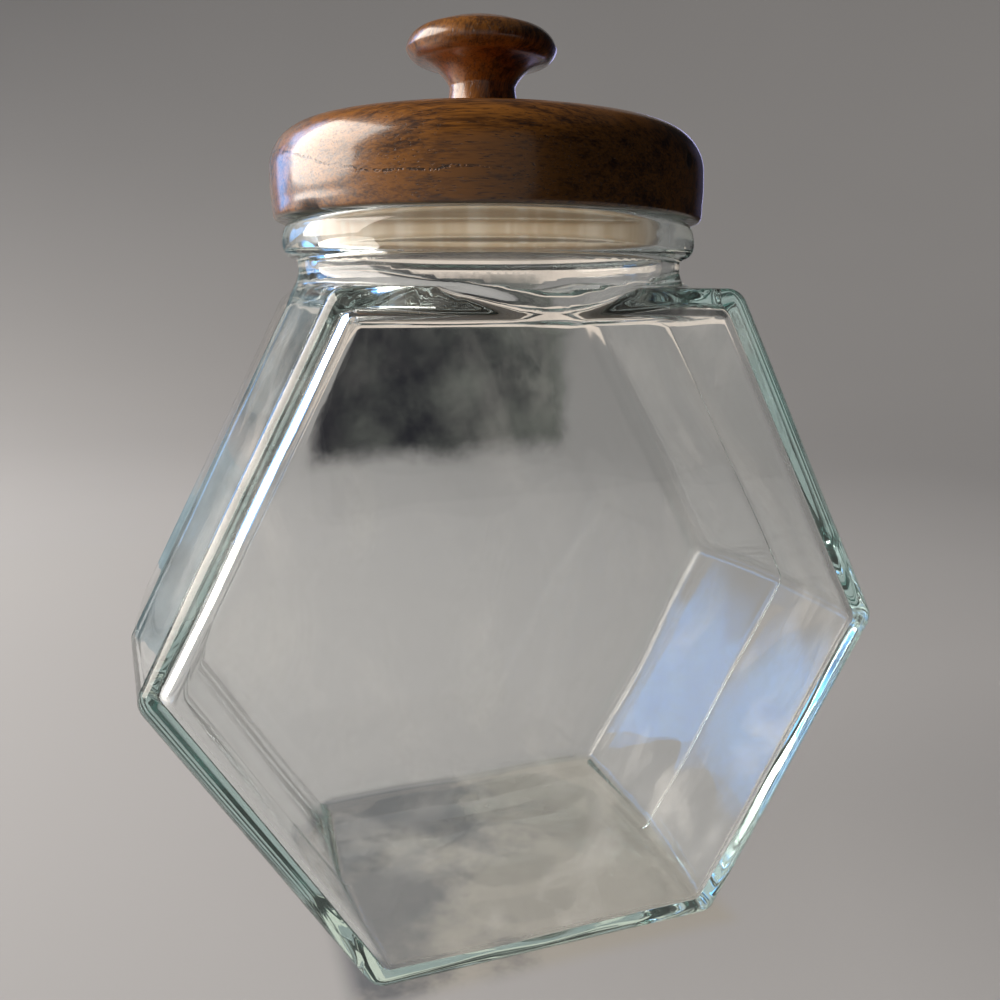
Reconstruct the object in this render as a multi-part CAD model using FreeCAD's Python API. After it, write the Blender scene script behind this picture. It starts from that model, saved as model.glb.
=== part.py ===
import FreeCAD, Part

# Hexagonal glass storage jar with a turned wooden lid.
#
# Millimetres, +Z up. The origin is under the middle of the base. The two large hexagonal faces look
# along -Y and +Y, and the hexagon stands on one of its sides, so its widest corners are on X.
# Each piece is one solid in its own file: the glass jar, the wooden lid with its plug, the ribbed
# seal round the plug, and the wooden knob. The lid lies loose on the jar's rim.

import math
import os

os.makedirs("parts", exist_ok=True)

# ---- driving dimensions ----
SIDE = 95.0                     # half the width across the corners, and the depth of the body
WALL = 4.5                      # glass thickness
RIM_Z = 180.5                   # top of the glass, where the lid lies
TOTAL_HEIGHT = 225.6            # base to the top of the knob

# ---- glass body ----
CORNER_Z = 0.86 * SIDE          # height of the widest corners
SHOULDER_Z = 1.747 * SIDE       # height of the top side at the mould seam
TOP_HALF = 0.507 * SIDE         # half the length of the top side
BASE_HALF = 0.519 * SIDE        # half the length of the bottom side
TAPER = 2.3                     # each slanting side moves in this far from the seam to either face
SHOULDER_TAPER = 1.1            # and the top side this far
FLOOR = 7.4                     # glass thickness of the base
BASE_TRIM = 0.4                 # the rounded body is cut off flat this far above its lowest line
OUTSIDE_ROUND = 5.2             # rounding of the body's outside edges
INSIDE_ROUND = 6.0              # rounding of its inside edges
PUSH_UP_R = 0.38 * SIDE         # round hollow under the base, which leaves a bearing ring
PUSH_UP_DEPTH = 1.2

# ---- neck ----
NECK_R = SIDE / 2.0 - 0.2       # just inside the front and back faces
BORE_R = NECK_R - WALL
NECK_ROOT = 4.0                 # rounding where the neck meets the shoulder, outside and inside
BEAD_R = 50.6
BEAD_HEIGHT = 8.5
BEAD_BEVEL = 1.0                # height of the slope under the bead
BEAD_FOOT_INSET = 1.2           # how much narrower the bead is at its lower edge
BEAD_TOP_INSET = 0.9            # and where it turns into the lip
LIP_ROUND = 1.8                 # rounding of the rim

# ---- lid ----
LID_R = 52.5
LID_WIDEST_Z = RIM_Z + 7.5
LID_FOOT_R = 52.0               # side of the lid at its lower edge
LID_FOOT_ROUND = 0.7
DOME_R = 41.0                   # where the low dome turns into the side
DOME_Z = RIM_Z + 20.2
DOME_TOP_Z = RIM_Z + 25.2
PLUG_R = 40.2
PLUG_DEPTH = 6.5

# ---- seal round the plug ----
SEAL_BAND = 1.1                 # thickness of its plain band
SEAL_CLEARANCE = 0.15           # between the ribs and the bore
SEAL_RIBS = 3
SEAL_RIB_HEIGHT = 1.1

# ---- knob ----
KNOB_OFFSET = 1.3               # the knob stands this far off the lid's axis, towards -X
KNOB_R = 17.8
KNOB_WIDEST_Z = TOTAL_HEIGHT - 6.8
STEM_R = 7.85
STEM_FOOT_R = 9.3
STEM_Z = TOTAL_HEIGHT - 14.6    # the thinnest place of the stem
STEM_SINK = 0.6                 # depth of the flat-bottomed seat that the stem stands in
KNOB_SEAT_Z = DOME_TOP_Z - STEM_SINK


def point(place):
    """A (radius, height) pair as a point of a turned profile."""
    return FreeCAD.Vector(place[0], 0.0, place[1])


def line(start, end):
    return Part.makeLine(point(start), point(end))


def arc(start, middle, end):
    return Part.Arc(point(start), point(middle), point(end)).toShape()


def crown(top_z, edge):
    """A shallow dome's arc from the axis, where it is level, down to its edge."""
    radius, z = edge
    sphere = (radius ** 2 + (top_z - z) ** 2) / (2.0 * (top_z - z))
    middle = (radius / 2.0, top_z - sphere + math.sqrt(sphere ** 2 - radius ** 2 / 4.0))
    return arc((0, top_z), middle, edge)


def turned(edges):
    """Revolve a closed profile about the Z axis into a solid."""
    face = Part.Face(Part.Wire(edges))
    return face.revolve(FreeCAD.Vector(0, 0, 0), FreeCAD.Vector(0, 0, 1), 360)


def outline(y, taper, wall, floor):
    """The body's six-sided outline at one depth, moved in by a wall thickness and by its taper."""
    corners = [(SIDE, CORNER_Z), (TOP_HALF, SHOULDER_Z), (-TOP_HALF, SHOULDER_Z)]
    corners += [(-SIDE, CORNER_Z), (-BASE_HALF, 0.0), (BASE_HALF, 0.0)]
    slanting = wall + taper * TAPER
    moves = [slanting, wall + taper * SHOULDER_TAPER, slanting, slanting, floor, slanting]
    sides = []
    for (x0, z0), (x1, z1), move in zip(corners, corners[1:] + corners[:1], moves):
        length = math.hypot(x1 - x0, z1 - z0)
        inward_x = (z0 - z1) / length
        inward_z = (x1 - x0) / length
        sides.append((inward_x, inward_z, inward_x * x0 + inward_z * z0 + move))
    points = []
    for before, after in zip(sides[-1:] + sides[:-1], sides):
        cross = before[0] * after[1] - before[1] * after[0]
        x = (before[2] * after[1] - after[2] * before[1]) / cross
        z = (before[0] * after[2] - after[0] * before[2]) / cross
        points.append(FreeCAD.Vector(x, y, z))
    return Part.makePolygon(points + points[:1])


def rounded_prism(wall, floor, rounding):
    """The body, widest at the mould seam in the middle of its depth, with rounded edges."""
    half_depth = SIDE / 2.0 - wall
    front = outline(-half_depth, 1.0, wall, floor)
    seam = outline(0.0, 0.0, wall, floor)
    back = outline(half_depth, 1.0, wall, floor)
    halves = [Part.makeLoft([face, seam], True, True) for face in (front, back)]
    prism = halves[0].fuse(halves[1]).removeSplitter()
    edges = [edge for edge in prism.Edges if max(abs(v.Y) for v in edge.Vertexes) > 1.0]
    return prism.makeFillet(rounding, edges)


def with_neck(prism, neck, radius):
    """A prism joined to a neck of that radius, with the edge where they meet rounded."""
    body = prism.fuse(neck)
    roots = []
    for edge in body.Edges:
        if edge.Degenerated:
            continue
        low, high = edge.ParameterRange
        places = [edge.valueAt(low + part * (high - low)) for part in (0.1, 0.5, 0.9)]
        on_neck = all(abs(math.hypot(place.x, place.y) - radius) < 0.02 for place in places)
        if on_neck and places[1].z < SHOULDER_Z + 0.1:
            roots.append(edge)
    return body.makeFillet(NECK_ROOT, roots)


def neck_outside():
    """The neck with its bead and rounded lip, from the middle of the body up to the rim."""
    bead_z = RIM_Z - BEAD_HEIGHT
    neck_top = (NECK_R, bead_z - BEAD_BEVEL)
    bead_foot = (BEAD_R - BEAD_FOOT_INSET, bead_z)
    bead_widest = (BEAD_R, bead_z + 0.42 * BEAD_HEIGHT)
    bead_top = (BEAD_R - BEAD_TOP_INSET, RIM_Z - LIP_ROUND)
    lip_turn = (bead_top[0] - 0.3 * LIP_ROUND, RIM_Z - 0.3 * LIP_ROUND)
    lip = (bead_top[0] - LIP_ROUND, RIM_Z)
    return turned([
        line((0, CORNER_Z), (NECK_R, CORNER_Z)),
        line((NECK_R, CORNER_Z), neck_top),
        line(neck_top, bead_foot),
        arc(bead_foot, bead_widest, bead_top),
        arc(bead_top, lip_turn, lip),
        line(lip, (0, RIM_Z)),
        line((0, RIM_Z), (0, CORNER_Z)),
    ])


def neck_inside():
    """The bore, rounded where it opens at the rim."""
    bore_top = (BORE_R, RIM_Z - LIP_ROUND)
    lip_turn = (BORE_R + 0.3 * LIP_ROUND, RIM_Z - 0.3 * LIP_ROUND)
    lip = (BORE_R + LIP_ROUND, RIM_Z)
    return turned([
        line((0, CORNER_Z), (BORE_R, CORNER_Z)),
        line((BORE_R, CORNER_Z), bore_top),
        arc(bore_top, lip_turn, lip),
        line(lip, (0, RIM_Z)),
        line((0, RIM_Z), (0, CORNER_Z)),
    ])


def jar():
    """One hollow glass body: a hexagonal prism lying on its side, with a round neck on top."""
    outside = with_neck(rounded_prism(0.0, -BASE_TRIM, OUTSIDE_ROUND), neck_outside(), NECK_R)
    inside = with_neck(rounded_prism(WALL, FLOOR, INSIDE_ROUND), neck_inside(), BORE_R)
    push_up = Part.makeCone(PUSH_UP_R, PUSH_UP_R - PUSH_UP_DEPTH, PUSH_UP_DEPTH)
    below = Part.makeBox(2.0 * SIDE, SIDE, BASE_TRIM, FreeCAD.Vector(-SIDE, -SIDE / 2.0, -BASE_TRIM))
    return outside.cut(below).cut(inside).cut(push_up)


def lid():
    """A turned disc with a bulging side and a low dome, and the plug under it."""
    foot = (LID_FOOT_R - LID_FOOT_ROUND, RIM_Z)
    foot_turn = (LID_FOOT_R - 0.3 * LID_FOOT_ROUND, RIM_Z + 0.3 * LID_FOOT_ROUND)
    side_low = (LID_FOOT_R, RIM_Z + LID_FOOT_ROUND)
    side_high = (LID_R - 0.1, LID_WIDEST_Z + 2.8)
    shoulder = (LID_R - 4.2, DOME_Z - 1.7)
    dome_edge = (DOME_R, DOME_Z)
    plug_z = RIM_Z - PLUG_DEPTH
    disc = turned([
        crown(DOME_TOP_Z, dome_edge),
        arc(dome_edge, shoulder, side_high),
        arc(side_high, (LID_R, LID_WIDEST_Z), side_low),
        arc(side_low, foot_turn, foot),
        line(foot, (PLUG_R, RIM_Z)),
        line((PLUG_R, RIM_Z), (PLUG_R, plug_z)),
        line((PLUG_R, plug_z), (0, plug_z)),
        line((0, plug_z), (0, DOME_TOP_Z)),
    ])
    seat = Part.makeCylinder(STEM_FOOT_R, STEM_SINK + 1.0, FreeCAD.Vector(-KNOB_OFFSET, 0, KNOB_SEAT_Z))
    return disc.cut(seat)


def seal():
    """A soft band round the plug with ribs that reach almost to the bore."""
    band_r = PLUG_R + SEAL_BAND
    rib_r = BORE_R - SEAL_CLEARANCE
    pitch = PLUG_DEPTH / SEAL_RIBS
    corners = [(PLUG_R, RIM_Z - PLUG_DEPTH), (band_r, RIM_Z - PLUG_DEPTH)]
    for k in range(SEAL_RIBS):
        rib_z = RIM_Z - PLUG_DEPTH + (k + 0.3) * pitch
        rib_tip = (rib_r, rib_z + 0.5 * SEAL_RIB_HEIGHT)
        corners += [(band_r, rib_z), rib_tip, (band_r, rib_z + SEAL_RIB_HEIGHT)]
    corners += [(band_r, RIM_Z), (PLUG_R, RIM_Z)]
    edges = [line(start, end) for start, end in zip(corners, corners[1:] + corners[:1])]
    return turned(edges)


def knob():
    """A turned mushroom knob on a flared stem, let a little into the dome."""
    top = TOTAL_HEIGHT
    crown_edge = (0.76 * KNOB_R, top - 2.7)
    cap_shoulder = (0.93 * KNOB_R, top - 4.3)
    cap_widest = (KNOB_R, KNOB_WIDEST_Z)
    cap_under = (0.96 * KNOB_R, top - 8.2)
    cap_low = (0.86 * KNOB_R, top - 9.4)
    throat = (0.575 * KNOB_R, top - 11.5)
    waist = (STEM_R, STEM_Z)
    foot_turn = (STEM_R + 0.35, STEM_Z - 2.6)
    foot = (STEM_FOOT_R, KNOB_SEAT_Z)
    solid = turned([
        crown(top, crown_edge),
        arc(crown_edge, cap_shoulder, cap_widest),
        arc(cap_widest, cap_under, cap_low),
        arc(cap_low, throat, waist),
        arc(waist, foot_turn, foot),
        line(foot, (0, KNOB_SEAT_Z)),
        line((0, KNOB_SEAT_Z), (0, top)),
    ])
    solid.translate(FreeCAD.Vector(-KNOB_OFFSET, 0, 0))
    return solid


PIECES = {"jar": jar, "lid": lid, "seal": seal, "knob": knob}

for name, make in PIECES.items():
    shape = make()
    if shape.ShapeType != "Solid":
        shape = shape.Solids[0]
    print(name, "valid", shape.isValid(), "volume", round(shape.Volume / 1000.0, 2), "cm3")
    shape.exportStep("parts/" + name + ".step")
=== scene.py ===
"""Hexagonal glass storage jar with a turned wooden lid: the looks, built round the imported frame."""

import math

import bpy
import numpy as np
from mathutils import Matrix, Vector


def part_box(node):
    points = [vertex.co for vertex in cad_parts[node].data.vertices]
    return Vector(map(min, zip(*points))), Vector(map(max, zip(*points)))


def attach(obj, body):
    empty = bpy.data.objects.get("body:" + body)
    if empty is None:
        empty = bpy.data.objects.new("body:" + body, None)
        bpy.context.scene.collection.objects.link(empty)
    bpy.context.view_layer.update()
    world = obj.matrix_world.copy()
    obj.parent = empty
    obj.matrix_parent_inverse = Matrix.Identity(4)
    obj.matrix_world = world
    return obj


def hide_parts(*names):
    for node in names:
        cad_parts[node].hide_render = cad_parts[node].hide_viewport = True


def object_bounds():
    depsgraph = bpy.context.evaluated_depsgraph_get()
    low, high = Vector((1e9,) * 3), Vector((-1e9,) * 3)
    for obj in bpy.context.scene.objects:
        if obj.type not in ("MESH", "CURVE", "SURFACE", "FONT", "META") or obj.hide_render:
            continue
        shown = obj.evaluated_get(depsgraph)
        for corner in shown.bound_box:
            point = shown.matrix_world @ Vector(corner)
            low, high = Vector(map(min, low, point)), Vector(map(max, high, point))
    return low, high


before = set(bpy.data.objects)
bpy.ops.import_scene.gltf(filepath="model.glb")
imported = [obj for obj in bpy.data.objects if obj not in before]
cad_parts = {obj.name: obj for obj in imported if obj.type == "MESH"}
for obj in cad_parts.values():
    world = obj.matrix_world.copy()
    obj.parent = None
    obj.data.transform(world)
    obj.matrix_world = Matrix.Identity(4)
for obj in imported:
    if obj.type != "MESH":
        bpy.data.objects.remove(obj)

CAD_LOW, CAD_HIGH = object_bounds()
MM = 0.001

# ---- the glass body, in millimetres ----
SIDE = 95.0                      # half the width across the corners, and the depth of the body
CORNER_Z = 0.86 * SIDE           # height of the widest corners
SHOULDER_Z = 1.747 * SIDE        # height of the top side at the mould seam
TOP_HALF = 0.507 * SIDE          # half the length of the top side
BASE_HALF = 0.519 * SIDE         # half the length of the bottom side
TAPER = 2.3                      # each slanting side moves in this far from the seam to either face
SHOULDER_TAPER = 1.1             # and the top side this far
WALL = 4.5                       # glass thickness of the walls
FLOOR = 6.6                      # and of the base at its middle
FLOOR_LEAN = 0.068               # the base gets this much thicker for each millimetre to the back
OUTSIDE_ROUND = 5.2              # rounding of the outside edges
INSIDE_ROUND = 3.4               # rounding of the inside edges
RIDGE_ROUND = 1.5                # softness of the ridge where the two tapers meet at the seam
PUSH_UP_R = 0.38 * SIDE          # shallow hollow under the base, which leaves a bearing ring
PUSH_UP_DEPTH = 0.8
PUSH_UP_EDGE = 20.0              # width of its slope
SEAM_HEIGHT = 0.11               # ridge that the two halves of the mould leave
SEAM_HALF_WIDTH = 0.45
SEAM_END_Z = SHOULDER_Z - 2.0    # it doesn't cross the top side
SEAM_ZONE = 2.4                  # this near to the seam the mesh's points keep their y
OUTSIDE_WAVE = 0.10              # unevenness of the pressed glass
INSIDE_WAVE = 0.32
BORE_WAVE = 0.05
LEVEL_FOOT, WAVY_FROM = 1.0, 9.0  # the outside is true up to the first height, wavy from the second

# ---- its neck ----
RIM_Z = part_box("jar")[1].z / MM
NECK_R = SIDE / 2.0 - 0.2
BORE_R = NECK_R - WALL
NECK_ROOT = 4.0                  # rounding where the neck meets the shoulder, at its left and right
NECK_ROOT_AT_FACES = 1.0         # and at the front and the back, where it is nearly flush
NECK_ROOT_NEAR, NECK_ROOT_FAR = 30.0, 44.0
NECK_DRAW = 3.0                  # inside the body the neck's outline draws in, so it never shows there
NECK_DRAW_LOW, NECK_DRAW_HIGH = SHOULDER_Z - 22.0, SHOULDER_Z - 6.0
BEAD_R = 50.6
BEAD_HEIGHT = 8.5
BEAD_BULGE = 0.9                 # how far its side falls back towards its edges
BEAD_WIDEST = -0.7               # its widest line, from its middle
BEAD_HALF_ARC = 0.42 * BEAD_HEIGHT
BEAD_ROOT = 1.0
LIP_ROUND = 1.8

# ---- the lid, its plug and its seal ----
LID_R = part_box("lid")[1].x / MM
LID_TOP_Z = RIM_Z + 25.2
PLUG_R = 40.2
PLUG_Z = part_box("lid")[0].z / MM
PLUG_EDGE = 0.8                  # rounding of its lower edge
LID_WARP = 0.0022                # share of its radius by which the turned side is out of true
SEAL_RIBS = 3
SEAL_BAND = 1.0                  # thickness of the plain band
SEAL_CLEARANCE = 0.2             # between the ribs and the bore

GRAIN_TURN = 0.36                # the lid's grain runs this far round from X
CRACK_LOW_Z = RIM_Z + 6.4        # a fine crack along the lid's side, which climbs to its left
CRACK_RISE = 6.8
CRACK_WANDER = 2.8
CRACK_RIGHT, CRACK_CLIMB, CRACK_LEFT = -1.75, -2.3, -3.05
KNOT = (33.9, -39.9, RIM_Z + 11.4)  # a small knot in the lid's side
CHIP_ANGLE, CHIP_SPREAD = -2.70, 0.055
CHIP_HEIGHT = 2.2
CHIP_DEPTH = 0.022               # as a share of the lid's radius
CHIP_LIFT = 0.8
CHIP_TEETH = 160.0               # waves of its ragged break, counted all the way round the lid

# ---- the knob ----
KNOB_LOW, KNOB_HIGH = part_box("knob")
KNOB_X = (KNOB_LOW.x + KNOB_HIGH.x) / 2.0 / MM
KNOB_R = (KNOB_HIGH.x - KNOB_LOW.x) / 2.0 / MM
KNOB_TOP_Z = KNOB_HIGH.z / MM
KNOB_FOOT_Z = KNOB_LOW.z / MM
STEM_R = 7.85
STEM_FOOT_R = 9.3

# ---- colours ----
GLASS_TINT = (0.20, 0.78, 0.72, 1.0)
WOOD_DARK, WOOD_LIGHT = (0.055, 0.017, 0.004, 1.0), (0.44, 0.170, 0.026, 1.0)
BARE_WOOD_DARK, BARE_WOOD_LIGHT = (0.30, 0.19, 0.10, 1.0), (0.46, 0.33, 0.20, 1.0)
SEAL_DARK, SEAL_LIGHT = (0.60, 0.48, 0.34, 1.0), (0.72, 0.63, 0.52, 1.0)
FLOOR_DARK, FLOOR_LIGHT = (0.425, 0.438, 0.462, 1.0), (0.455, 0.468, 0.492, 1.0)
# colours of a shadow painted on the floor under and round the jar
PAINTED_SHADOW_DARK, PAINTED_SHADOW_LIGHT = (0.06, 0.075, 0.10, 1.0), (0.43, 0.422, 0.39, 1.0)
WORLD = (0.88, 0.86, 0.86, 1.0)
# glowing cards that paint reflections and the tones seen through the glass; the black ones paint shade
# into reflections
BLACK_CARD = ((0.006, 0.006, 0.008, 1.0), (0.012, 0.012, 0.012, 1.0))
PATCHY_CARD = ((0.003, 0.004, 0.010, 1.0), (0.13, 0.135, 0.118, 1.0))
WARM_CARD = ((0.80, 0.67, 0.57, 1.0), (0.88, 0.75, 0.64, 1.0))
BLUE_CARD = ((0.25, 1.05, 3.0, 1.0), (0.8, 1.8, 3.4, 1.0))
TEAL_CARD = ((0.01, 0.03, 0.04, 1.0), (0.30, 0.42, 0.47, 1.0))


# ---- the glass as a distance field ----
def rounded_both(a, b, radius):
    """Inside both a and b, with the edge where they meet rounded."""
    a, b = a + radius, b + radius
    outside = np.hypot(np.maximum(a, 0.0), np.maximum(b, 0.0))
    return np.minimum(np.maximum(a, b), 0.0) + outside - radius


def rounded_either(a, b, radius):
    """Inside a or b, with the inner corner where they meet filled to a radius."""
    fill = np.hypot(np.maximum(radius - a, 0.0), np.maximum(radius - b, 0.0))
    return np.maximum(np.minimum(a, b), radius) - fill


def smooth_step(low, high, value):
    """0 up to low, 1 from high on, and smooth between them."""
    t = np.clip((value - low) / (high - low), 0.0, 1.0)
    return t * t * (3.0 - 2.0 * t)


def waves(x, y, z, seed):
    """Slow uneven waves, about -1 to 1, that stay the same for one seed."""
    random = np.random.default_rng(seed)
    total = np.zeros_like(x)
    for length in (95.0, 70.0, 52.0, 39.0, 29.0):
        direction = random.normal(size=3)
        direction *= 2.0 * math.pi / length / np.linalg.norm(direction)
        phase = random.uniform(0.0, 2.0 * math.pi)
        total += np.sin(x * direction[0] + y * direction[1] + z * direction[2] + phase) * length
    return total / 180.0


def hexagon(x, z, slant_inset, top_inset, floor_inset):
    """Distance to the six-sided outline whose sides are moved in by those amounts."""
    x = np.abs(x)                # both halves are alike: base, lower side, upper side and top
    corners = [(BASE_HALF, 0.0), (SIDE, CORNER_Z), (TOP_HALF, SHOULDER_Z)]
    top = SHOULDER_Z - top_inset
    planes = [(0.0, -1.0, -floor_inset)]
    for (x0, z0), (x1, z1) in zip(corners, corners[1:]):
        length = math.hypot(x1 - x0, z1 - z0)
        normal_x, normal_z = (z1 - z0) / length, (x0 - x1) / length
        planes.append((normal_x, normal_z, normal_x * x0 + normal_z * z0 - slant_inset))
    planes.append((0.0, 1.0, top))
    ends = [(0.0 * x, floor_inset + 0.0 * x)]
    for (ax, az, a), (bx, bz, b) in zip(planes, planes[1:]):
        cross = ax * bz - bx * az
        ends.append(((a * bz - b * az) / cross, (ax * b - bx * a) / cross))
    ends.append((0.0 * x, top + 0.0 * x))
    inside = np.maximum.reduce([nx * x + nz * z - d for nx, nz, d in planes])
    nearest = np.full_like(x, np.inf)
    for (x0, z0), (x1, z1) in zip(ends, ends[1:]):
        dx, dz = x1 - x0, z1 - z0
        along = np.clip(((x - x0) * dx + (z - z0) * dz) / (dx * dx + dz * dz), 0.0, 1.0)
        nearest = np.minimum(nearest, np.hypot(x - x0 - along * dx, z - z0 - along * dz))
    return np.where(inside > 0.0, nearest, inside)


def prism(x, y, z, wall, floor, rounding):
    """The body, widest at the mould seam and rounded on all its edges, moved in by a wall."""
    half_depth = SIDE / 2.0 - wall
    taper = (np.hypot(y, RIDGE_ROUND) - RIDGE_ROUND) / half_depth
    flat = hexagon(
        x, z,
        wall + rounding + taper * TAPER,
        wall + rounding + taper * SHOULDER_TAPER,
        floor + rounding,
    )
    return rounded_both(flat - rounding, np.abs(y) - half_depth, rounding)


def glass(x, y, z):
    """Signed distance to the jar's glass, negative inside it."""
    radius = np.hypot(x, y)
    to_faces = smooth_step(NECK_ROOT_NEAR, NECK_ROOT_FAR, np.abs(y))
    root = NECK_ROOT - (NECK_ROOT - NECK_ROOT_AT_FACES) * to_faces
    drawn_in = NECK_DRAW * (1.0 - smooth_step(NECK_DRAW_LOW, NECK_DRAW_HIGH, z))
    bead_z = RIM_Z - BEAD_HEIGHT / 2.0

    outer = prism(x, y, z, 0.0, 0.0, OUTSIDE_ROUND)
    outer -= SEAM_HEIGHT * np.exp(-(y / SEAM_HALF_WIDTH) ** 2) * (z < SEAM_END_Z)
    outer += OUTSIDE_WAVE * waves(x, y, z, 11) * smooth_step(LEVEL_FOOT, WAVY_FROM, z)
    neck = np.maximum(radius - NECK_R + drawn_in, z - bead_z)
    outer = rounded_either(outer, np.maximum(neck, CORNER_Z - z), root)
    bead_side = radius - BEAD_R + BEAD_BULGE * ((z - bead_z - BEAD_WIDEST) / BEAD_HALF_ARC) ** 2
    bead = rounded_both(bead_side, np.abs(z - bead_z) - BEAD_HEIGHT / 2.0, LIP_ROUND)
    outer = rounded_either(outer, bead, BEAD_ROOT)
    push_up = PUSH_UP_DEPTH * (1.0 - smooth_step(PUSH_UP_R - PUSH_UP_EDGE, PUSH_UP_R, radius))
    outer = np.maximum(outer, push_up - z)

    floor = FLOOR + FLOOR_LEAN * np.clip(y, -BORE_R, BORE_R)
    inner = prism(x, y, z, WALL, floor, INSIDE_ROUND)
    inner += INSIDE_WAVE * waves(x, y, z, 23)
    bore = np.maximum(radius - BORE_R + drawn_in + BORE_WAVE * waves(x, y, z, 5), CORNER_Z - z)
    inner = rounded_either(inner, bore, root)
    return rounded_both(outer, -inner, LIP_ROUND)


# ---- the glass as a mesh ----
def spaced(*runs):
    """Grid lines over several (start, end, spacing) runs that follow one another."""
    lines = [np.linspace(a, b, max(2, round((b - a) / step) + 1))[:-1] for a, b, step in runs]
    return np.append(np.concatenate(lines), runs[-1][1])


def surface_of(field, xs, ys, zs):
    """A quad mesh of a distance field's surface on an uneven grid: (points, quads)."""
    value = field(*np.meshgrid(xs, ys, zs, indexing="ij"))
    cells = np.array(value.shape) - 1
    total = np.zeros(tuple(cells) + (3,))
    count = np.zeros(tuple(cells))
    axes = (xs, ys, zs)
    crossings = []
    for axis in range(3):
        first = [slice(None)] * 3
        second = [slice(None)] * 3
        first[axis], second[axis] = slice(0, -1), slice(1, None)
        a, b = value[tuple(first)], value[tuple(second)]
        at = np.argwhere((a < 0.0) != (b < 0.0))
        va, vb = a[tuple(at.T)], b[tuple(at.T)]
        place = np.stack([axes[k][at[:, k]] for k in range(3)], 1)
        step = axes[axis][at[:, axis] + 1] - axes[axis][at[:, axis]]
        place[:, axis] += step * va / (va - vb)
        u, v = (axis + 1) % 3, (axis + 2) % 3
        ring = []
        for du, dv in ((0, 0), (1, 0), (1, 1), (0, 1)):
            cell = at.copy()
            cell[:, u] -= du
            cell[:, v] -= dv
            np.add.at(total, tuple(cell.T), place)
            np.add.at(count, tuple(cell.T), 1.0)
            ring.append(cell)
        crossings.append((ring, va < 0.0))
    index = np.full(count.shape, -1)
    used = count > 0
    index[used] = np.arange(used.sum())
    points = total[used] / count[used][:, None]
    quads = []
    for ring, inside_first in crossings:
        quad = np.stack([index[tuple(cell.T)] for cell in ring], 1)
        quad[~inside_first] = quad[~inside_first][:, ::-1]
        quads.append(quad)
    return points, np.concatenate(quads)


def gradient(field, points, step=0.04):
    """The field's slope at each point, measured over a short step either way."""
    slopes = []
    for axis in range(3):
        move = np.zeros(3)
        move[axis] = step
        ahead = field(*(points + move).T)
        behind = field(*(points - move).T)
        slopes.append((ahead - behind) / (2.0 * step))
    return np.stack(slopes, 1)


def onto(field, points, rounds, longest=1.0, flattest=0.05):
    """Points moved along the field's slope, no further than longest a round, towards its surface."""
    for _ in range(rounds):
        slope = gradient(field, points)
        size = np.maximum((slope ** 2).sum(1), flattest)
        shift = slope * (field(*points.T) / size)[:, None]
        length = np.linalg.norm(shift, axis=1, keepdims=True)
        points = points - shift * np.minimum(1.0, longest / np.maximum(length, 1e-9))
    return points


def evened(points, quads, fixed_y):
    """Points moved halfway to the mean of their neighbours, where those of fixed_y keep their y."""
    total = np.zeros_like(points)
    count = np.zeros(len(points))
    for k in range(4):
        a, b = quads[:, k], quads[:, (k + 1) % 4]
        np.add.at(total, a, points[b])
        np.add.at(total, b, points[a])
        np.add.at(count, a, 1.0)
        np.add.at(count, b, 1.0)
    moved = (points + total / count[:, None]) / 2.0
    moved[fixed_y, 1] = points[fixed_y, 1]
    return moved


def width_at(z):
    """The body's width at a height, as a share of its greatest width."""
    return np.interp(z, (0.0, CORNER_Z, SHOULDER_Z), (BASE_HALF / SIDE, 1.0, TOP_HALF / SIDE))


def glass_mesh():
    """The jar's points, quads and normals, from a grid whose lines follow the slanting sides.

    The lines are closer at the corners, the faces' edges, the mould seam, the base and the neck.
    """
    across = spaced((-101.0, -84.0, 1.05), (-84.0, 84.0, 2.2), (84.0, 101.0, 1.05))
    ys = spaced(
        (-53.0, -39.0, 0.95), (-39.0, -1.5, 2.4), (-1.5, 1.5, 0.5),
        (1.5, 39.0, 2.4), (39.0, 53.0, 0.95),
    )
    zs = spaced(
        (-2.0, 14.0, 1.0), (14.0, 74.0, 2.1), (74.0, 90.0, 1.1), (90.0, 152.0, 2.1),
        (152.0, 170.0, 1.0), (170.0, 182.5, 0.7),
    )
    points, quads = surface_of(lambda u, y, z: glass(u * width_at(z), y, z), across, ys, zs)
    points[:, 0] *= width_at(points[:, 2])
    for _ in range(3):
        points = onto(glass, evened(points, quads, np.abs(points[:, 1]) < SEAM_ZONE), 2)
    points = onto(glass, points, 3)
    slope = gradient(glass, points)
    normals = slope / np.linalg.norm(slope, axis=1, keepdims=True)
    return points, quads, normals


# ---- turned pieces ----
def arc_points(start, middle, end, count):
    """Points along the arc through three (radius, height) places, without the last one."""
    (ax, ay), (bx, by), (cx, cy) = start, middle, end
    turn = 2.0 * (ax * (by - cy) + bx * (cy - ay) + cx * (ay - by))
    a2, b2, c2 = ax * ax + ay * ay, bx * bx + by * by, cx * cx + cy * cy
    ox = (a2 * (by - cy) + b2 * (cy - ay) + c2 * (ay - by)) / turn
    oy = (a2 * (cx - bx) + b2 * (ax - cx) + c2 * (bx - ax)) / turn
    first, second, third = (math.atan2(y - oy, x - ox) for x, y in (start, middle, end))
    sweep = (third - first) % (2.0 * math.pi)
    if (second - first) % (2.0 * math.pi) > sweep:
        sweep -= 2.0 * math.pi
    radius = math.hypot(ax - ox, ay - oy)
    angles = [first + sweep * k / count for k in range(count)]
    return [(ox + radius * math.cos(t), oy + radius * math.sin(t)) for t in angles]


def line_points(start, end, count):
    """Points along a line, without the last one."""
    (x0, z0), (x1, z1) = start, end
    return [(x0 + (x1 - x0) * k / count, z0 + (z1 - z0) * k / count) for k in range(count)]


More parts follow.
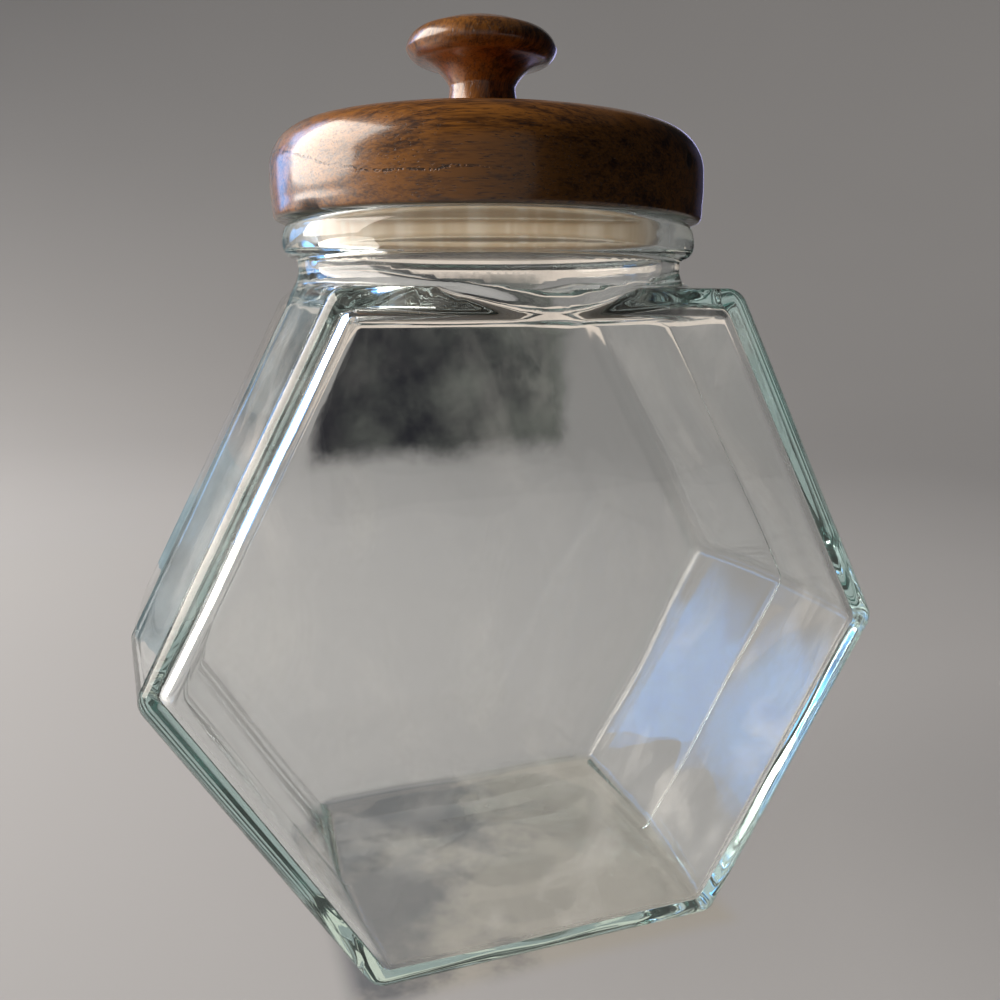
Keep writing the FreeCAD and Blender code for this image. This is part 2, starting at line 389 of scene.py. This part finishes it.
def crown_points(top_z, edge, count):
    """A shallow dome from the axis down to its edge, level at the axis, without the edge."""
    radius, z = edge
    sphere = (radius ** 2 + (top_z - z) ** 2) / (2.0 * (top_z - z))
    span = math.asin(radius / sphere)
    angles = [span * k / count for k in range(count)]
    return [(sphere * math.sin(t), top_z - sphere + sphere * math.cos(t)) for t in angles]


def rings(outline, turns):
    """Points of an outline of (radius, height) places turned about Z, one ring after another."""
    angle = 2.0 * math.pi * np.arange(turns) / turns
    radius, height = np.array(outline).T
    x, y = radius[:, None] * np.cos(angle), radius[:, None] * np.sin(angle)
    return np.stack([x, y, np.repeat(height[:, None], turns, 1)], 2).reshape(-1, 3)


def ring_faces(upper, lower, turns):
    """Quads from one ring of points to another; they face out where lower comes after upper."""
    faces = []
    for k in range(turns):
        m = (k + 1) % turns
        faces.append((upper * turns + k, lower * turns + k, lower * turns + m, upper * turns + m))
    return faces


def lathe(profile, turns):
    """Points and faces of a profile turned about Z; it starts and ends on the axis."""
    rim = profile[1:-1]
    ends = [[0.0, 0.0, profile[0][1]], [0.0, 0.0, profile[-1][1]]]
    points = np.concatenate([rings(rim, turns), ends])
    first, last = len(points) - 2, len(points) - 1
    faces = []
    for row in range(len(rim) - 1):
        faces += ring_faces(row, row + 1, turns)
    low = (len(rim) - 1) * turns
    for k in range(turns):
        m = (k + 1) % turns
        faces.append((first, k, m))
        faces.append((last, low + m, low + k))
    return points, faces


def lid_profile():
    """The lid with its plug, from the top of the dome to the middle of the plug's underside."""
    dome_edge = (41.0, RIM_Z + 20.2)
    dome_turn = (LID_R - 4.2, RIM_Z + 18.5)
    side_high = (LID_R - 0.1, RIM_Z + 10.3)
    side_widest = (LID_R, RIM_Z + 7.5)
    foot_r = LID_R - 0.5
    side_low = (foot_r, RIM_Z + 0.9)
    foot_turn = (foot_r - 0.27, RIM_Z + 0.27)
    foot = (foot_r - 0.9, RIM_Z)
    plug_root = (PLUG_R, RIM_Z)
    plug_low = (PLUG_R, PLUG_Z + PLUG_EDGE)
    plug_turn = (PLUG_R - 0.3 * PLUG_EDGE, PLUG_Z + 0.3 * PLUG_EDGE)
    plug_end = (PLUG_R - PLUG_EDGE, PLUG_Z)
    axis = (0.0, PLUG_Z)
    profile = crown_points(LID_TOP_Z, dome_edge, 40)
    profile += arc_points(dome_edge, dome_turn, side_high, 26)
    profile += arc_points(side_high, side_widest, side_low, 26)
    profile += arc_points(side_low, foot_turn, foot, 6)
    profile += line_points(foot, plug_root, 16)
    profile += line_points(plug_root, plug_low, 8)
    profile += arc_points(plug_low, plug_turn, plug_end, 4)
    profile += line_points(plug_end, axis, 24)
    return profile + [axis]


def knob_profile():
    """A mushroom knob on a flared stem, from its top to the middle of its foot."""
    top = KNOB_TOP_Z
    crown_edge = (0.76 * KNOB_R, top - 2.7)
    crown_turn = (0.93 * KNOB_R, top - 4.3)
    widest = (KNOB_R, top - 6.8)
    cap_turn = (0.96 * KNOB_R, top - 8.2)
    cap_low = (0.86 * KNOB_R, top - 9.4)
    hollow = (0.575 * KNOB_R, top - 11.5)
    waist = (STEM_R, top - 14.6)
    flare = (8.2, top - 17.2)
    foot = (STEM_FOOT_R, KNOB_FOOT_Z)
    axis = (0.0, KNOB_FOOT_Z)
    profile = crown_points(top, crown_edge, 22)
    profile += arc_points(crown_edge, crown_turn, widest, 16)
    profile += arc_points(widest, cap_turn, cap_low, 12)
    profile += arc_points(cap_low, hollow, waist, 22)
    profile += arc_points(waist, flare, foot, 14)
    profile += line_points(foot, axis, 6)
    return profile + [axis]


def seal_outline():
    """The band round the plug with soft ribs that reach almost to the glass, as a closed outline."""
    inner_r, band_r, rib_r = PLUG_R + 0.02, PLUG_R + SEAL_BAND, BORE_R - SEAL_CLEARANCE
    steps = 20 * SEAL_RIBS
    outline = [(inner_r, RIM_Z), (inner_r, PLUG_Z)]
    for k in range(steps + 1):
        z = PLUG_Z + (RIM_Z - PLUG_Z) * k / steps
        rib = 0.5 + 0.5 * math.cos(2.0 * math.pi * (SEAL_RIBS * k / steps - 0.55))
        outline.append((band_r + (rib_r - band_r) * rib ** 3, z))
    return outline


def mesh_object(name, points, faces, material, normals=None):
    """A smooth-shaded piece from points in millimetres."""
    mesh = bpy.data.meshes.new(name)
    mesh.from_pydata((np.asarray(points) * MM).tolist(), [], np.asarray(faces, object).tolist())
    mesh.polygons.foreach_set("use_smooth", [True] * len(mesh.polygons))
    if normals is not None:
        mesh.normals_split_custom_set_from_vertices(normals.tolist())
    mesh.update()
    mesh.materials.append(material)
    piece = bpy.data.objects.new(name, mesh)
    bpy.context.scene.collection.objects.link(piece)
    return piece


# ---- materials ----
class Nodes:
    """A short way to write a material's nodes."""

    def __init__(self, name):
        self.material = bpy.data.materials.new(name)
        self.material.use_nodes = True
        self.tree = self.material.node_tree
        self.tree.nodes.clear()
        self.output = self.add("ShaderNodeOutputMaterial")

    def add(self, kind, inputs=(), **settings):
        """A node with its settings, and with its inputs linked to sockets or set to values."""
        node = self.tree.nodes.new(kind)
        for key, value in settings.items():
            setattr(node, key, value)
        for key, value in dict(inputs).items():
            if isinstance(value, bpy.types.NodeSocket):
                self.tree.links.new(value, node.inputs[key])
            else:
                node.inputs[key].default_value = value
        return node

    def math(self, operation, a, b=0.0, c=0.0):
        return self.add("ShaderNodeMath", {0: a, 1: b, 2: c}, operation=operation).outputs[0]

    def times(self, a, b):
        return self.math("MULTIPLY", a, b)

    def vector(self, operation, inputs):
        return self.add("ShaderNodeVectorMath", inputs, operation=operation)

    def mix(self, factor, a, b):
        """One colour at 0 and the other at 1; a colour mix keeps them in sockets 6, 7 and out 2."""
        inputs = {"Factor": factor, 6: a, 7: b}
        return self.add("ShaderNodeMix", inputs, data_type="RGBA").outputs[2]

    def noise_node(self, place, scale, detail=2.0, rough=0.5):
        inputs = {"Vector": place, "Scale": scale, "Detail": detail, "Roughness": rough}
        return self.add("ShaderNodeTexNoise", inputs)

    def noise(self, place, scale, detail=2.0, rough=0.5):
        return self.noise_node(place, scale, detail, rough).outputs["Fac"]

    def between(self, value, low, high):
        """0 at low and 1 at high, smoothly."""
        inputs = {"Value": value, "From Min": low, "From Max": high}
        node = self.add("ShaderNodeMapRange", inputs, interpolation_type="SMOOTHSTEP")
        return node.outputs["Result"]

    def bump(self, height, distance, strength):
        inputs = {"Height": height, "Distance": distance, "Strength": strength}
        return self.add("ShaderNodeBump", inputs).outputs["Normal"]

    def place(self, scale=(1.0, 1.0, 1.0), turn=(0.0, 0.0, 0.0)):
        """The object's own coordinates in metres, turned and scaled."""
        coordinates = self.add("ShaderNodeTexCoord").outputs["Object"]
        inputs = {"Vector": coordinates, "Rotation": turn, "Scale": scale}
        return self.add("ShaderNodeMapping", inputs).outputs["Vector"]

    def parts(self, place):
        return self.add("ShaderNodeSeparateXYZ", {"Vector": place}).outputs

    def stretched(self, place, along, across):
        """Coordinates for a texture that runs along X, in cycles a metre along and across it."""
        inputs = {"Vector": place, "Scale": (along, across, across)}
        return self.add("ShaderNodeMapping", inputs).outputs["Vector"]

    def finish(self, shader):
        self.tree.links.new(shader.outputs[0], self.output.inputs["Surface"])
        return self.material


def glass_material():
    """Clear soda-lime glass, aqua where it is thick, with faint ripples, smudges and smears."""
    n = Nodes("clear_glass")
    place = n.place()
    smudges = n.noise(place, 22.0, 4.0, 0.6)
    streaks = n.noise(n.place(scale=(60.0, 60.0, 9.0)), 1.0, 3.0, 0.6)
    dirty = n.times(n.between(smudges, 0.5, 0.72), n.between(streaks, 0.35, 0.7))
    turns = n.noise_node(place, 14.0, 1.0).outputs["Color"]
    swirl = n.vector("SCALE", {0: turns, "Scale": 0.05}).outputs[0]
    wiped = n.vector("ADD", {0: n.place(scale=(1.0, 1.0, 0.4)), 1: swirl}).outputs[0]
    strokes = n.noise(wiped, 42.0, 4.0, 0.62)
    film = n.times(n.between(strokes, 0.50, 0.66), n.between(smudges, 0.35, 0.62))
    ripples = n.noise(place, 34.0, 1.0)
    shader = n.add("ShaderNodeBsdfPrincipled", {
        "Base Color": (1.0, 1.0, 1.0, 1.0),
        "Transmission Weight": n.math("MULTIPLY_ADD", film, -0.12, 0.994),
        "IOR": 1.52,
        "Roughness": n.times(dirty, 0.16),
        "Normal": n.bump(ripples, 0.00012, 0.6),
    })
    tint = n.add("ShaderNodeVolumeAbsorption", {"Color": GLASS_TINT, "Density": 5.5})
    n.tree.links.new(tint.outputs[0], n.output.inputs["Volume"])
    return n.finish(shader)


def wood_material(name, turn, marks=None):
    """Varnished hardwood: soft figure, dark fibres and pores along one direction, and its marks."""
    n = Nodes(name)
    place = n.place(turn=turn)
    warp = n.noise_node(n.stretched(place, 4.0, 22.0), 1.0, 2.0).outputs["Color"]
    bend = n.vector("SCALE", {0: warp, "Scale": 0.008}).outputs[0]
    grain = n.vector("ADD", {0: place, 1: bend}).outputs[0]
    figure = n.noise(n.stretched(grain, 6.0, 75.0), 1.0, 3.0, 0.55)
    streaks = n.noise(n.stretched(grain, 42.0, 620.0), 1.0, 3.0, 0.6)
    fibres = n.noise(n.stretched(grain, 170.0, 2300.0), 1.0, 2.0, 0.6)
    pore = n.between(n.noise(n.stretched(place, 300.0, 4600.0), 1.0, 1.0), 0.62, 0.72)
    cloud = n.noise(place, 34.0, 3.0, 0.6)
    tone = n.math("MULTIPLY_ADD", figure, 0.9, n.times(streaks, 1.1))
    tone = n.math("MULTIPLY_ADD", fibres, 0.9, tone)
    tone = n.math("MULTIPLY_ADD", cloud, 0.6, tone)
    colour = n.mix(n.between(tone, 1.42, 2.05), WOOD_DARK, WOOD_LIGHT)
    deep = (WOOD_DARK[0] * 0.4, WOOD_DARK[1] * 0.35, WOOD_DARK[2] * 0.3, 1.0)
    colour = n.mix(n.times(pore, 0.8), colour, deep)
    relief = n.math("MULTIPLY_ADD", fibres, 0.4, n.times(pore, -0.8))
    roughness = n.math("MULTIPLY_ADD", n.noise(place, 110.0, 3.0, 0.6), 0.2, 0.24)
    if marks:
        colour, relief, roughness = marks(n, colour, relief, roughness, deep, streaks)
    shader = n.add("ShaderNodeBsdfPrincipled", {
        "Base Color": colour,
        "Roughness": roughness,
        "IOR": 1.5,
        "Coat Weight": 0.9,
        "Coat Roughness": 0.14,
        "Normal": n.bump(relief, 0.00012, 0.8),
    })
    return n.finish(shader)


def lid_marks(n, colour, relief, roughness, deep, streaks):
    """A fine crack along the side, a small knot, and the bare unstained underside."""
    place = n.place()
    parts = n.parts(place)
    angle = n.math("ARCTAN2", parts["Y"], parts["X"])
    lowest = (CRACK_LOW_Z - CRACK_WANDER / 2.0) * MM
    wander = n.math("MULTIPLY_ADD", n.noise(place, 90.0, 3.0, 0.6), CRACK_WANDER * MM, lowest)
    climb = n.times(n.between(angle, CRACK_CLIMB, CRACK_LEFT), CRACK_RISE * MM)
    off = n.math("ABSOLUTE", n.math("SUBTRACT", parts["Z"], n.math("ADD", wander, climb)))
    dots = n.between(n.noise(place, 1150.0, 2.0), 0.44, 0.54)
    along = n.between(angle, CRACK_RIGHT, CRACK_RIGHT - 0.3)
    crack = n.times(n.times(n.between(off, 0.36 * MM, 0.1 * MM), dots), along)
    to_knot = n.vector("DISTANCE", {0: place, 1: [v * MM for v in KNOT]}).outputs["Value"]
    ragged = n.math("MULTIPLY_ADD", n.noise(place, 400.0), 1.6 * MM, to_knot)
    knot = n.between(ragged, 3.1 * MM, 1.9 * MM)
    dark_part = n.math("MAXIMUM", n.times(crack, 0.85), knot)
    colour = n.mix(dark_part, colour, deep)
    relief = n.math("SUBTRACT", relief, n.times(dark_part, 2.2))
    bare = n.between(parts["Z"], (RIM_Z + 0.4) * MM, (RIM_Z + 0.1) * MM)
    pale = n.mix(n.between(streaks, 0.3, 0.7), BARE_WOOD_DARK, BARE_WOOD_LIGHT)
    colour = n.mix(bare, colour, pale)
    roughness = n.math("MULTIPLY_ADD", bare, 0.3, roughness)
    return colour, relief, roughness


def seal_material():
    """Soft translucent plastic, yellowed in streaks."""
    n = Nodes("seal_plastic")
    streaks = n.noise(n.place(scale=(260.0, 260.0, 30.0)), 1.0, 2.0, 0.6)
    shader = n.add("ShaderNodeBsdfPrincipled", {
        "Base Color": n.mix(n.between(streaks, 0.35, 0.65), SEAL_DARK, SEAL_LIGHT),
        "Roughness": n.math("MULTIPLY_ADD", streaks, 0.2, 0.35),
        "Subsurface Weight": 0.25,
        "Subsurface Radius": (0.003, 0.002, 0.0015),
        "Subsurface Scale": 1.0,
        "IOR": 1.48,
    })
    return n.finish(shader)


def floor_material():
    """Pale and even, with a painted shadow where the jar stands, darkest towards its left and back."""
    n = Nodes("pale_floor")
    place = n.place()
    parts = n.parts(place)
    over_x = n.math("MAXIMUM", n.math("SUBTRACT", n.math("ABSOLUTE", parts["X"]), BASE_HALF * MM), 0.0)
    over_y = n.math("MAXIMUM", n.math("SUBTRACT", n.math("ABSOLUTE", parts["Y"]), SIDE / 2.0 * MM), 0.0)
    away = n.math("SQRT", n.math("ADD", n.times(over_x, over_x), n.times(over_y, over_y)))
    # painted shadow: near the jar's footprint the floor turns to mottled shadow colours, darkest to its
    # left and back
    shadow_near = n.between(away, 0.007, -0.003)
    colour = n.mix(n.noise(place, 3.0, 2.0), FLOOR_DARK, FLOOR_LIGHT)
    cloud = n.noise(place, 26.0, 5.0, 0.62)
    to_right = n.math("MULTIPLY_ADD", parts["X"], 9.0, n.times(parts["Y"], -4.0))
    shadow_mottle = n.math("ADD", n.math("MULTIPLY_ADD", cloud, 1.6, -0.80), to_right)
    painted_shadow = n.mix(n.between(shadow_mottle, -0.34, 0.06), PAINTED_SHADOW_DARK, PAINTED_SHADOW_LIGHT)
    colour = n.mix(shadow_near, colour, painted_shadow)
    return n.finish(n.add("ShaderNodeBsdfPrincipled", {"Base Color": colour, "Roughness": 0.85}))


# ---- pieces ----
def build_jar():
    """The glass, kept within the CAD's box; it casts no shadow, so light reaches its inside."""
    points, faces, normals = glass_mesh()
    points = np.clip(points, np.array(CAD_LOW) / MM, np.array(CAD_HIGH) / MM)
    piece = mesh_object("glass_jar", points, faces, glass_material(), normals)
    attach(piece, "root")
    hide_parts("jar")
    piece.visible_shadow = False
    return piece


def build_lid():
    """The lid and its plug, slightly out of true, with a chip in the lower edge of its side."""
    points, faces = lathe(lid_profile(), 288)
    x, y, z = points.T
    radius, angle = np.hypot(x, y), np.arctan2(y, x)
    outer = smooth_step(RIM_Z + 1.0, RIM_Z + 4.0, z) * smooth_step(2.0, 20.0, radius)
    points[:, :2] *= (1.0 - LID_WARP * outer * (1.0 + waves(x, y, z, 41)))[:, None]
    chip = np.exp(-((angle - CHIP_ANGLE) / CHIP_SPREAD) ** 2)
    chip *= 1.0 - smooth_step(RIM_Z, RIM_Z + CHIP_HEIGHT, z)
    chip *= smooth_step(LID_R - 4.0, LID_R - 1.5, radius) * (0.7 + 0.5 * np.sin(angle * CHIP_TEETH))
    points[:, :2] *= (1.0 - CHIP_DEPTH * chip)[:, None]
    points[:, 2] += CHIP_LIFT * chip
    wood = wood_material("lid_wood", (0.0, 0.0, GRAIN_TURN), lid_marks)
    piece = mesh_object("wooden_lid", points, faces, wood)
    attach(piece, "root")
    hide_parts("lid")
    return piece


def build_knob():
    points, faces = lathe(knob_profile(), 192)
    points[:, 0] += KNOB_X
    piece = mesh_object("wooden_knob", points, faces, wood_material("knob_wood", (0.3, 1.25, 0.3)))
    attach(piece, "root")
    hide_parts("knob")
    return piece


def build_seal():
    outline, turns = seal_outline(), 240
    faces = []
    for row in range(len(outline)):
        faces += ring_faces((row + 1) % len(outline), row, turns)
    piece = mesh_object("plug_seal", rings(outline, turns), faces, seal_material())
    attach(piece, "root")
    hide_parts("seal")
    return piece


# ---- stage ----
def build_floor():
    """A wide pale floor, a hair under the jar, that curves up into a low wall all the way round."""
    flat, curve, wall = 900.0, 1100.0, 700.0
    steps, turns = 12, 96
    outline = [(flat * k / steps, 0.0) for k in range(1, steps)]
    for k in range(steps + 1):
        t = math.pi / 2.0 * k / steps
        outline.append((flat + curve * math.sin(t), curve - curve * math.cos(t)))
    outline.append((flat + curve, curve + wall))
    points = np.concatenate([rings(outline, turns), [[0.0, 0.0, 0.0]]])
    faces = [(len(points) - 1, k, (k + 1) % turns) for k in range(turns)]
    for row in range(len(outline) - 1):
        faces += ring_faces(row, row + 1, turns)
    floor = mesh_object("floor", points, faces, floor_material())
    floor.location.z = -0.3 * MM
    floor.visible_diffuse = False
    return floor


def softbox(name, place, size, power, colour, receivers=()):
    """A rectangular lamp aimed at the jar; a camera doesn't see it, and it may light some pieces only."""
    light = bpy.data.lights.new(name, "AREA")
    light.shape = "RECTANGLE"
    light.size, light.size_y = size
    light.energy = power
    light.color = colour
    lamp = bpy.data.objects.new(name, light)
    lamp.location = place
    aim = Vector((0.0, 0.0, 0.12)) - Vector(place)
    lamp.rotation_euler = aim.to_track_quat("-Z", "Y").to_euler()
    lamp.visible_camera = False
    bpy.context.scene.collection.objects.link(lamp)
    if receivers:
        group = bpy.data.collections.new("lit_by_" + name)
        for piece in receivers:
            group.objects.link(piece)
        lamp.light_linking.receiver_collection = group
    return lamp


def build_lights(floor, jar, lid, knob, seal):
    """A low window on the left, weak light on the floor and into the jar, and rims on the wood."""
    softbox("window", (-1.24, 0.48, 0.78), (1.3, 1.4), 42.0, (1.0, 0.91, 0.82))
    softbox("overhead", (-0.5, -0.2, 2.1), (1.6, 1.6), 10.5, (1.0, 0.93, 0.86), [floor])
    fill = softbox("fill", (-0.25, -0.8, 0.35), (0.6, 0.4), 5.0, (1.0, 0.93, 0.84), [seal, jar])
    fill.visible_glossy = False
    fill.visible_transmission = False
    for name, place in (("left_rim", (-0.5, 1.4, 0.4)), ("right_rim", (0.9, 1.15, 0.3))):
        rim = softbox(name, place, (0.5, 0.6), 1.3, (0.50, 0.50, 1.0), [lid, knob])
        rim.visible_transmission = False
        rim.visible_diffuse = False
    world = bpy.data.worlds.new("studio")
    world.use_nodes = True
    background = world.node_tree.nodes["Background"]
    background.inputs["Color"].default_value = WORLD
    background.inputs["Strength"].default_value = 0.04
    bpy.context.scene.world = world


def upright(start, end, low, high):
    """Corners of an upright card over the line between two (x, y) places, in metres."""
    return [(*start, low), (*end, low), (*end, high), (*start, high)]


def card(name, corners, colours, edge=0.0, patches=0.0):
    """A glowing card in mottled colours that paints a reflection or a tone seen through the glass; with
    an edge, its sides fade out raggedly, also in patches.
    """
    n = Nodes(name)
    place = n.place()
    parts = n.parts(place)
    left, low, right, high = corners[0][0], corners[0][2], corners[1][0], corners[2][2]
    across = n.math("DIVIDE", n.math("SUBTRACT", parts["X"], left), right - left)
    tone = n.math("ADD", n.times(across, 0.5), n.noise(place, 16.0, 4.0, 0.6))
    mottled = n.mix(n.between(tone, 0.45, 1.15), *colours)
    shader = n.add("ShaderNodeEmission", {"Color": mottled, "Strength": 1.0})
    if edge:
        ragged = n.times(n.noise(place, 0.8 / edge, 4.0, 0.65), edge)
        there = 1.0
        for a, b in ((parts["Z"], low), (high, parts["Z"]), (right, parts["X"]), (parts["X"], left)):
            from_side = n.math("ADD", n.math("SUBTRACT", a, b), ragged)
            there = n.times(there, n.between(from_side, edge, 2.2 * edge))
        if patches:
            there = n.times(there, n.between(n.noise(place, patches, 2.0), 0.36, 0.50))
        clear = n.add("ShaderNodeBsdfTransparent")
        shader = n.add("ShaderNodeMixShader", {0: there, 1: clear.outputs[0], 2: shader.outputs[0]})
    material = n.finish(shader)
    material.cycles.emission_sampling = "NONE"
    piece = mesh_object(name, np.array(corners) / MM, [(0, 1, 2, 3)], material)
    piece.visible_camera = False
    piece.visible_diffuse = False
    piece.visible_shadow = False
    return piece


def build_cards():
    """Glowing cards round the jar: the backdrops paint a dark patch and a warm tone that show only
    through the glass, the others paint reflections, the black ones dark reflections that stand in for
    shade.
    """
    # painted backdrops: a dark patch and a warm tone that show only through the glass
    dark = card("dark_backdrop", upright((0.02, 0.7), (0.315, 0.7), 0.0, 0.215), PATCHY_CARD, 0.022)
    warm = card("warm_backdrop", upright((-0.3, 0.72), (0.8, 0.72), 0.186, 0.5), WARM_CARD)
    for piece in (dark, warm):
        piece.visible_glossy = False
    # a glowing card that paints a blue window's reflection in the glass
    card("blue_window_reflection", upright((-2.3, 1.3), (-0.5, 1.3), 0.05, 1.7), BLUE_CARD, 0.16, 2.3)
    # glowing cards that paint reflections of a teal room on the left, seen only in reflections
    low_room = card("teal_room_reflection", upright((-0.6, 0.5), (-0.08, 0.5), -0.03, 0.17), TEAL_CARD, 0.02)
    high_room = card("teal_room_reflection_2", upright((-0.3, 0.5), (-0.08, 0.5), 0.14, 0.5), TEAL_CARD, 0.02)
    # a black card that paints a dark reflection in front of the jar
    card("dark_room_reflection", upright((0.02, -0.6), (0.45, -0.6), 0.01, 0.17), BLACK_CARD)
    # black flags that show only in reflections and paint shade on the lid's right side
    flag = card("side_flag", upright((0.03, -0.42), (0.34, -0.10), 0.15, 0.60), BLACK_CARD)
    flag_2 = card("side_flag_2", upright((0.34, -0.10), (0.28, 0.30), 0.15, 0.60), BLACK_CARD)
    level = [(0.11, -0.35, 0.15), (0.34, -0.35, 0.15), (0.34, 0.30, 0.15), (0.11, 0.30, 0.15)]
    flag_low = card("side_flag_low", level, BLACK_CARD)
    for piece in (low_room, high_room, flag, flag_2, flag_low):
        piece.visible_transmission = False


def build_camera():
    """Close to the jar, just under its shoulder's height, looking down and to the right."""
    camera = bpy.data.cameras.new("camera")
    camera.sensor_width = 36.0
    camera.lens = 34.99
    camera.shift_x, camera.shift_y = -0.0463, 0.1117
    camera.clip_start = 0.01
    holder = bpy.data.objects.new("camera", camera)
    holder.location = (-0.0781, -0.2481, 0.1602)
    to_right, down = 0.3591, 0.3007
    holder.rotation_euler = (math.pi / 2.0 - down, 0.0, -to_right)
    bpy.context.scene.collection.objects.link(holder)
    bpy.context.scene.camera = holder


def set_view():
    """Plain colours, and enough bounces for light to cross all the walls of the jar."""
    scene = bpy.context.scene
    scene.view_settings.view_transform = "Standard"
    scene.cycles.max_bounces = 22
    scene.cycles.transmission_bounces = 22
    scene.cycles.glossy_bounces = 10
    scene.cycles.caustics_refractive = False
    scene.cycles.caustics_reflective = False


build_camera()
jar = build_jar()
lid = build_lid()
knob = build_knob()
seal = build_seal()
build_lights(build_floor(), jar, lid, knob, seal)
build_cards()
set_view()
